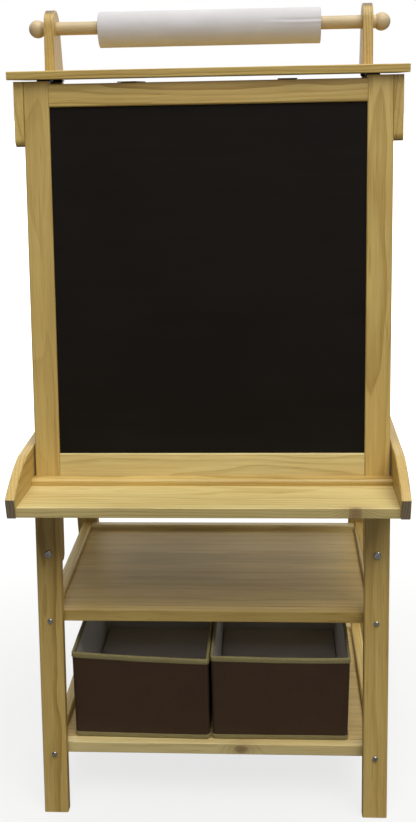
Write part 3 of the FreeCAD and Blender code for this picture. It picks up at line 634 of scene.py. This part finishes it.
def foot_tape(bin_room, material):
    """Tape round the bottom edge, tucked under the bin."""
    foot, top = bin_room.foot, bin_room.foot + FOOT_TAPE_HEIGHT
    t, out = TAPE_THICK, OUTER_CORNER
    section = [(4.0 * MM, foot - 0.1 * MM, out - 3 * MM), (1.6 * MM, foot - 0.1 * MM, out - 1 * MM),
               (0.4 * MM, foot + 0.7 * MM, out), (0.0, foot + 2.0 * MM, out), (-0.1 * t, top - 0.8 * MM, out),
               (0.3 * t, top, out), (1.5 * t, top - 0.2 * MM, out), (1.5 * t, foot + 1.2 * MM, out),
               (4.0 * MM, foot + 0.9 * MM, out - 3 * MM)]

    def wobble(point):
        if point.z <= foot + 1 * MM:
            return 0.0
        return 0.25 * MM * max(noise.noise(point * 31 + bin_room.luck), 0.0)

    mesh = loft(bin_room.side + "_bin_foot_tape", tape_ring(bin_room, section, wobble), loop=True)
    return make_piece(bin_room.side + "_bin_foot_tape", mesh, [material], math.radians(60))


def stitch_row(bin_room, z, inset, mesh_maker):
    """Short stitches at one height all round the bin."""
    ring = bin_room.ring(z, inset, OUTER_CORNER)
    count = len(ring)
    lengths = [(ring[(k + 1) % count] - ring[k]).length for k in range(count)]
    total = sum(lengths)
    reach, index, passed = 0.0, 0, 0.0
    while reach < total - STITCH_PITCH:
        while passed + lengths[index] < reach:
            passed += lengths[index]
            index += 1
        a, b = ring[index], ring[(index + 1) % count]
        way = (b - a).normalized()
        start = a + way * (reach - passed)
        mesh_maker.stitch(start, way)
        reach += STITCH_PITCH


class Stitches:
    """Collects small rounded stitches into one mesh."""

    def __init__(self):
        self.points, self.faces = [], []

    def stitch(self, start, way):
        up = Vector((0, 0, 1))
        out = way.cross(up).normalized()
        sections = ((0.0, 0.35), (0.12, 0.9), (0.5, 1.1), (0.88, 0.9), (1.0, 0.35))
        first = len(self.points)
        for share, size in sections:
            middle = start + way * STITCH_LENGTH * share - out * STITCH_RADIUS * 0.3 * (1 - size)
            for k in range(6):
                angle = 2 * math.pi * k / 6
                swing = out * math.cos(angle) + up * math.sin(angle)
                self.points.append(middle + swing * STITCH_RADIUS * size)
        for j in range(len(sections) - 1):
            for k in range(6):
                a, b = first + 6 * j + k, first + 6 * j + (k + 1) % 6
                self.faces.append((a, b, b + 6, a + 6))
        last = first + 6 * (len(sections) - 1)
        self.faces.append(tuple(first + k for k in reversed(range(6))))
        self.faces.append(tuple(last + k for k in range(6)))

    def mesh(self, name):
        made = bpy.data.meshes.new(name)
        made.from_pydata(self.points, [], self.faces)
        made.update()
        return made


def base_board(bin_room, material):
    """Loose lining-covered card on the floor of the bin, a little dished, with wrapped edges."""
    low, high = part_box(bin_room.side + "_bin_base_board")
    inset = WALL + 1.2 * MM
    corner = 4.0 * MM
    thick = high.z - low.z
    levels = ((1.0 * MM, 0.0), (0.25 * MM, 0.25), (0.0, 0.55), (0.3 * MM, 0.85), (1.2 * MM, 1.0))
    rings = [bin_room.ring(low.z + thick * share, inset + back, corner) for back, share in levels]
    for k in range(1, 9):
        shrink = k * 11.0 * MM
        drop = 0.7 * MM * math.sin(math.pi / 2 * k / 8)
        z = high.z - drop
        ring = bin_room.ring(z, inset + 1.2 * MM + shrink, corner)
        rings.append([p + Vector((0, 0, 0.3 * MM * noise.noise(p * 35))) for p in ring])
    mesh = loft(bin_room.side + "_bin_base_card", rings, caps=True)
    return make_piece(bin_room.side + "_bin_base_card", mesh, [material])


def make_bins():
    outside, tape, lining = bin_fabric_paint(), tape_paint(), lining_paint_with_painted_light()
    thread = thread_paint()
    rooms = (Bin("left", foot_skew=2.4 * MM, rim_skew=6.0 * MM, rim_tilt=2.4 * MM, rim_dip=1.2 * MM,
                 flare=0.2 * MM, drift=0.0, seed=1.3),
             Bin("right", foot_skew=-0.4 * MM, rim_skew=1.0 * MM, rim_tilt=0.3 * MM, rim_dip=1.6 * MM,
                 flare=0.7 * MM, drift=0.3 * MM, seed=2.9))
    for room in rooms:
        body = room.side + "_bin_body"
        shell = bin_shell(room, outside, lining)
        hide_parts(room.side + "_bin_shell")
        rim = rim_tape(room, tape)
        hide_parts(room.side + "_bin_trim")
        foot = foot_tape(room, tape)
        base = base_board(room, lining)
        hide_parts(room.side + "_bin_base_board")
        sewing = Stitches()
        stitch_row(room, room.rim - TAPE_HEIGHT + 1.3 * MM, -0.25 * MM, sewing)
        stitch_row(room, room.foot + FOOT_TAPE_HEIGHT - 1.3 * MM, -0.25 * MM, sewing)
        name = room.side + "_bin_stitching"
        stitches = make_piece(name, sewing.mesh(name), [thread])
        for piece in (shell, rim, foot, base, stitches):
            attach(piece, body)


# --- paper roll ---------------------------------------------------------------------------------
PAPER_STEPS_ROUND = 96
PAPER_LAP_LIFT = 0.7 * MM
PAPER_CREASE_DEPTH = 0.9 * MM


def make_paper_roll():
    """Wound paper with telescoped ends, a free outer edge and a crease near its right end."""
    low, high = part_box("paper_roll")
    core_low, core_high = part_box("paper_core")
    middle = (low + high) / 2
    radius, core = (high.z - low.z) / 2, (core_high.z - core_low.z) / 2
    half = (high.x - low.x) / 2
    long_steps = 110
    stations = []
    for k in range(9):
        stations.append((-half, core + (radius - core) * (k / 8) ** 0.9))
    for k in range(1, long_steps):
        stations.append((-half + 2 * half * k / long_steps, radius))
    for k in range(9):
        stations.append((half, radius + (core - radius) * (k / 8) ** 1.1))
    rings = []
    for x, size in stations:
        ring = []
        for k in range(PAPER_STEPS_ROUND):
            angle = 2 * math.pi * k / PAPER_STEPS_ROUND
            ring.append(paper_point(middle, x, size, angle, half, radius))
        rings.append(ring)
    mesh = loft("paper_roll_wound", rings, loop=True)
    roll = make_piece("paper_roll_wound", mesh, [paper_paint(middle)], math.radians(50))
    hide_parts("paper_roll")
    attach(roll, "paper_roll_body")
    tail = paper_tail(middle, half, radius)
    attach(tail, "paper_roll_body")


def paper_point(middle, x, size, angle, half, radius):
    """A point of the wound roll: slightly out of round, with uneven ends and a crease."""
    swing = Vector((0, math.cos(angle), math.sin(angle)))
    outermost = size / radius
    sway = 0.22 * MM * noise.noise(Vector((x * 14, 2.0 * swing.y, 2.0 * swing.z)))
    crease_angle = math.radians(158) + 0.10 * math.sin((x - 0.06) * 20)
    off_crease = math.atan2(math.sin(angle - crease_angle), math.cos(angle - crease_angle))
    along = min(max((x - 0.075) / 0.05, 0.0), 1.0)
    fold = math.exp(-(off_crease / 0.05) ** 2)
    ridge = 0.8 * math.exp(-((off_crease - 0.13) / 0.07) ** 2)
    dent = PAPER_CREASE_DEPTH * along * (fold - ridge)
    size = size + (sway - dent) * outermost ** 8
    end_slip = 0.9 * MM * noise.noise(Vector((size * 700, 3.0 if x > 0 else 9.0, 0.5)))
    if abs(abs(x) - half) < 1e-6:
        x += math.copysign(end_slip - 0.5 * MM, x) if outermost < 0.985 else math.copysign(-0.3 * MM, x)
    return Vector((middle.x + x, middle.y, middle.z)) + swing * size


def paper_tail(middle, half, radius):
    """The sheet's free edge: a thin strip on top of the roll that lifts a little at its end."""
    rings = []
    steps, long_steps = 26, 60
    for k in range(long_steps + 1):
        x = -half + 0.6 * MM + 2 * (half - 0.6 * MM) * k / long_steps
        outer, inner = [], []
        flare = 0.55 + 0.45 * noise.noise(Vector((x * 16, 4.1, 0)))
        for j in range(steps + 1):
            share = j / steps
            angle = math.radians(62 - 74 * share + 1.2 * math.sin(x * 25))
            lift = (0.18 + PAPER_LAP_LIFT / MM * flare * share ** 4) * MM
            swing = Vector((0, math.cos(angle), math.sin(angle)))
            place = Vector((middle.x + x, middle.y, middle.z))
            outer.append(place + swing * (radius + lift))
            inner.append(place + swing * (radius + lift - 0.14 * MM))
        rings.append(outer + inner[::-1])
    mesh = loft("paper_roll_free_edge", rings, caps=True)
    return make_piece("paper_roll_free_edge", mesh, [paper_paint(middle)], math.radians(50))


# --- paints for the rest ------------------------------------------------------------------------
def make_weave_group():
    """Plain weave. Vector holds cloth metres; Pitch is one thread's width."""
    tree = bpy.data.node_groups.new("plain_weave", "ShaderNodeTree")
    tree.interface.new_socket("Vector", in_out="INPUT", socket_type="NodeSocketVector")
    tree.interface.new_socket("Pitch", in_out="INPUT", socket_type="NodeSocketFloat")
    tree.interface.new_socket("Height", in_out="OUTPUT", socket_type="NodeSocketFloat")
    tree.interface.new_socket("Tone", in_out="OUTPUT", socket_type="NodeSocketFloat")
    kit = Nodes(tree)
    given = kit.add("NodeGroupInput").outputs
    turn = kit.math("DIVIDE", math.pi, given["Pitch"])
    x, y, _ = kit.split(given["Vector"])
    warp = kit.math("SINE", kit.math("MULTIPLY", x, turn))
    weft = kit.math("SINE", kit.math("MULTIPLY", y, turn))
    over = kit.math("GREATER_THAN", kit.math("MULTIPLY", warp, weft), 0.0)
    across, along = kit.math("ABSOLUTE", warp), kit.math("ABSOLUTE", weft)
    height = kit.math("ADD", kit.math("MULTIPLY", over, across),
                      kit.math("MULTIPLY", kit.math("SUBTRACT", 1.0, over), along))
    slub_across = kit.noise(kit.mapping(given["Vector"], scale=(900, 40, 1)), 1.0, detail=1)
    slub_along = kit.noise(kit.mapping(given["Vector"], scale=(40, 900, 1)), 1.0, detail=1)
    tone = kit.math("ADD", kit.math("MULTIPLY", over, slub_across),
                    kit.math("MULTIPLY", kit.math("SUBTRACT", 1.0, over), slub_along))
    done = kit.add("NodeGroupOutput").inputs
    kit.feed(done["Height"], height)
    kit.feed(done["Tone"], tone)
    return tree


def cloth_paint(name, light, dark, pitch, bump, rough, sheen=0.0, wear=0.35):
    paint = Paint(name)
    place = paint.coords("UV")
    weave = paint.add("ShaderNodeGroup", node_tree=WEAVE)
    paint.feed(weave.inputs["Vector"], place)
    weave.inputs["Pitch"].default_value = pitch
    patch = paint.noise(paint.coords(), 16.0, detail=4, rough=0.6)
    tone = paint.math("ADD", paint.math("MULTIPLY", weave.outputs["Tone"], 0.7),
                      paint.math("MULTIPLY", paint.math("SUBTRACT", patch, 0.5), wear))
    raised = paint.math("ADD", paint.math("MULTIPLY", weave.outputs["Height"], 0.4), 0.75)
    tone = paint.math("MULTIPLY", tone, raised)
    paint.set("Base Color", paint.ramp(tone, [(0.12, dark), (0.62, light)]))
    paint.set("Roughness", rough)
    height = paint.math("ADD", weave.outputs["Height"], paint.math("MULTIPLY", patch, 1.5))
    paint.set("Normal", paint.bump(height, bump, 0.0003))
    if sheen:
        paint.set("Sheen Weight", sheen)
        paint.set("Sheen Roughness", 0.4)
    return paint.material


def bin_fabric_paint():
    return cloth_paint("bin_fabric_brown", (0.066, 0.0305, 0.0105), (0.036, 0.0155, 0.0052),
                       0.62 * MM, 0.35, 0.72)


def tape_paint():
    return cloth_paint("bin_tape_olive", (0.36, 0.31, 0.135), (0.22, 0.185, 0.075), 0.5 * MM, 0.4, 0.75)


# Grey lining, painted paler than its own mid grey: painted light standing in for light that barely reaches
# inside the bins.
def lining_paint_with_painted_light():
    return cloth_paint("bin_lining_grey_painted_light", (0.74, 0.72, 0.71), (0.62, 0.60, 0.59), 0.45 * MM, 0.3, 0.8)


def thread_paint():
    paint = Paint("bin_thread")
    twist = paint.noise(paint.mapping(paint.coords(), scale=(1500, 1500, 1500)), 1.0, detail=1)
    paint.set("Base Color", paint.ramp(twist, [(0.3, (0.20, 0.17, 0.075)), (0.7, (0.34, 0.30, 0.14))]))
    paint.set("Roughness", 0.7)
    return paint.material


def paper_paint(middle):
    """Drawing paper: soft white, with the wound edges drawn on the ends."""
    paint = Paint("drawing_paper")
    place = paint.coords()
    _, y, z = paint.split(paint.vector("SUBTRACT", place, tuple(middle)))
    radius = paint.vector("LENGTH", paint.join(0.0, y, z))
    layers = paint.noise(paint.join(paint.math("MULTIPLY", radius, 2600.0), 0.0, 0.0), 1.0, detail=2)
    facing = paint.split(paint.coords("Normal"))[0]
    end = paint.math("GREATER_THAN", paint.math("ABSOLUTE", facing), 0.7)
    cloud = paint.noise(place, 26.0, detail=3)
    sheet = paint.ramp(cloud, [(0.3, (0.66, 0.64, 0.655)), (0.7, (0.71, 0.69, 0.70))])
    edge = paint.ramp(layers, [(0.32, (0.50, 0.49, 0.475)), (0.62, (0.80, 0.79, 0.775))])
    paint.set("Base Color", paint.mix(end, sheet, edge))
    paint.set("Roughness", 0.85)
    tooth = paint.noise(place, 1800.0, detail=1)
    height = paint.math("ADD", tooth, paint.math("MULTIPLY", layers, end))
    paint.set("Normal", paint.bump(height, 0.12, 0.0002))
    return paint.material


def card_paint():
    paint = Paint("card_core")
    place = paint.coords()
    fibre = paint.noise(paint.mapping(place, scale=(120, 400, 400)), 1.0, detail=3)
    spiral = paint.noise(paint.mapping(place, rotation=(0, 0, 0.5), scale=(30, 4, 4)), 1.0, detail=1)
    tone = paint.math("ADD", paint.math("MULTIPLY", fibre, 0.7), paint.math("MULTIPLY", spiral, 0.3))
    paint.set("Base Color", paint.ramp(tone, [(0.35, (0.34, 0.24, 0.14)), (0.65, (0.52, 0.39, 0.25))]))
    paint.set("Roughness", 0.9)
    return paint.material


def chalkboard_paint():
    paint = Paint("chalkboard")
    place = paint.coords()
    cloud = paint.noise(paint.mapping(place, scale=(5, 5, 4)), 1.0, detail=5, rough=0.6)
    wipe = paint.noise(paint.mapping(place, rotation=(0, 0.5, 0), scale=(4, 1, 60)), 1.0, detail=4)
    tone = paint.math("ADD", paint.math("MULTIPLY", cloud, 0.6), paint.math("MULTIPLY", wipe, 0.4))
    slate = [(0.3, (0.0060, 0.0046, 0.0032)), (0.7, (0.0110, 0.0084, 0.0060))]
    paint.set("Base Color", paint.ramp(tone, slate))
    grit = paint.noise(place, 2600.0, detail=1)
    rough = paint.math("ADD", paint.math("MULTIPLY", cloud, 0.12), 0.55)
    paint.set("Roughness", rough)
    paint.set("Specular IOR Level", 0.12)
    paint.set("Normal", paint.bump(grit, 0.15, 0.0002))
    return paint.material


def whiteboard_paint():
    paint = Paint("whiteboard")
    place = paint.coords()
    cloud = paint.noise(place, 6.0, detail=3)
    smear = paint.noise(paint.mapping(place, rotation=(0, 0.4, 0), scale=(3, 1, 40)), 1.0, detail=4)
    paint.set("Base Color", paint.ramp(cloud, [(0.3, (0.80, 0.81, 0.80)), (0.7, (0.84, 0.85, 0.84))]))
    paint.set("Roughness", paint.ramp(smear, [(0.4, 0.10), (0.75, 0.24)]))
    paint.set("Normal", paint.bump(paint.noise(place, 60.0, detail=1), 0.03, 0.001))
    paint.set("Coat Weight", 0.3)
    paint.set("Coat Roughness", 0.05)
    return paint.material


def metal_paint(name, light, dark, rough, scale, metallic=1.0):
    paint = Paint(name)
    place = paint.coords()
    grain = paint.noise(place, scale, detail=3, rough=0.6)
    paint.set("Base Color", paint.ramp(grain, [(0.3, dark), (0.7, light)]))
    paint.set("Metallic", metallic)
    paint.set("Roughness", paint.math("ADD", paint.math("MULTIPLY", grain, 0.2), rough))
    paint.set("Normal", paint.bump(grain, 0.1, 0.0002))
    return paint.material


def shelf_paint(name, seed, middle):
    """Veneered shelf board: greyer than the pine, with long straight streaks."""
    return timber(name, ACROSS, UP, seed, light=(0.68, 0.505, 0.205), dark=(0.37, 0.248, 0.082),
                  spacing=0.011, contrast=0.45, heart=middle, lacquer=0.0, shine=0.25)


def dress_the_rest():
    shelves = {"middle_shelf_panel": 71, "bottom_shelf_panel": 72}
    for node, seed in shelves.items():
        coat(node, shelf_paint("board_" + node, seed, centre(node)))
    steel = metal_paint("zinc_steel", (0.60, 0.60, 0.60), (0.40, 0.40, 0.40), 0.12, 900.0)
    black = metal_paint("black_iron", (0.028, 0.027, 0.026), (0.014, 0.013, 0.012), 0.35, 500.0, 0.4)
    for node in ("leg_bolts", "leg_bolt_nuts", "shelf_bolts", "shelf_barrel_nuts", "gusset_screws",
                 "tray_screws", "top_screws", "board_hinge_pins"):
        coat(node, steel)
    for node in ("board_hinge_leaves", "rail_tie_plates"):
        coat(node, black)
    coat("chalkboard_panel", chalkboard_paint())
    coat("whiteboard_panel", whiteboard_paint())
    coat("paper_core", card_paint())
    turned = dict(light=(0.72, 0.59, 0.36), dark=(0.52, 0.38, 0.19))
    for node, seed in (("roll_dowel", 81), ("left_roll_knob", 82), ("right_roll_knob", 83)):
        coat(node, timber("turned_" + node, ACROSS, UP, seed, spacing=0.0022, contrast=0.6, end_grain=0.5,
                          heart=centre(node), **turned))
    coat("frame_dowels", timber("dowel_pegs", ACROSS, UP, 84, light=(0.70, 0.56, 0.36),
                                dark=(0.52, 0.38, 0.22)))


make_camera()
TIMBER = make_timber_group()
WEAVE = make_weave_group()
make_world()
make_key_light(KEY_DIRECTION, KEY_STRENGTH, KEY_SPREAD)
make_light("high_fill", (0.3, -1.5, 2.1), (0.0, 0.0, 1.15), (1.4, 1.0), 8.5, (1.0, 0.95, 0.86))
make_light("low_fill", (0.7, -3.6, 0.8), (0.0, 0.0, 0.4), (3.0, 2.0), 4.0, (1.0, 0.93, 0.82))
make_floor()
bpy.context.scene.view_settings.view_transform = "Standard"
dress_timber()
dress_the_rest()
make_bins()
make_paper_roll()
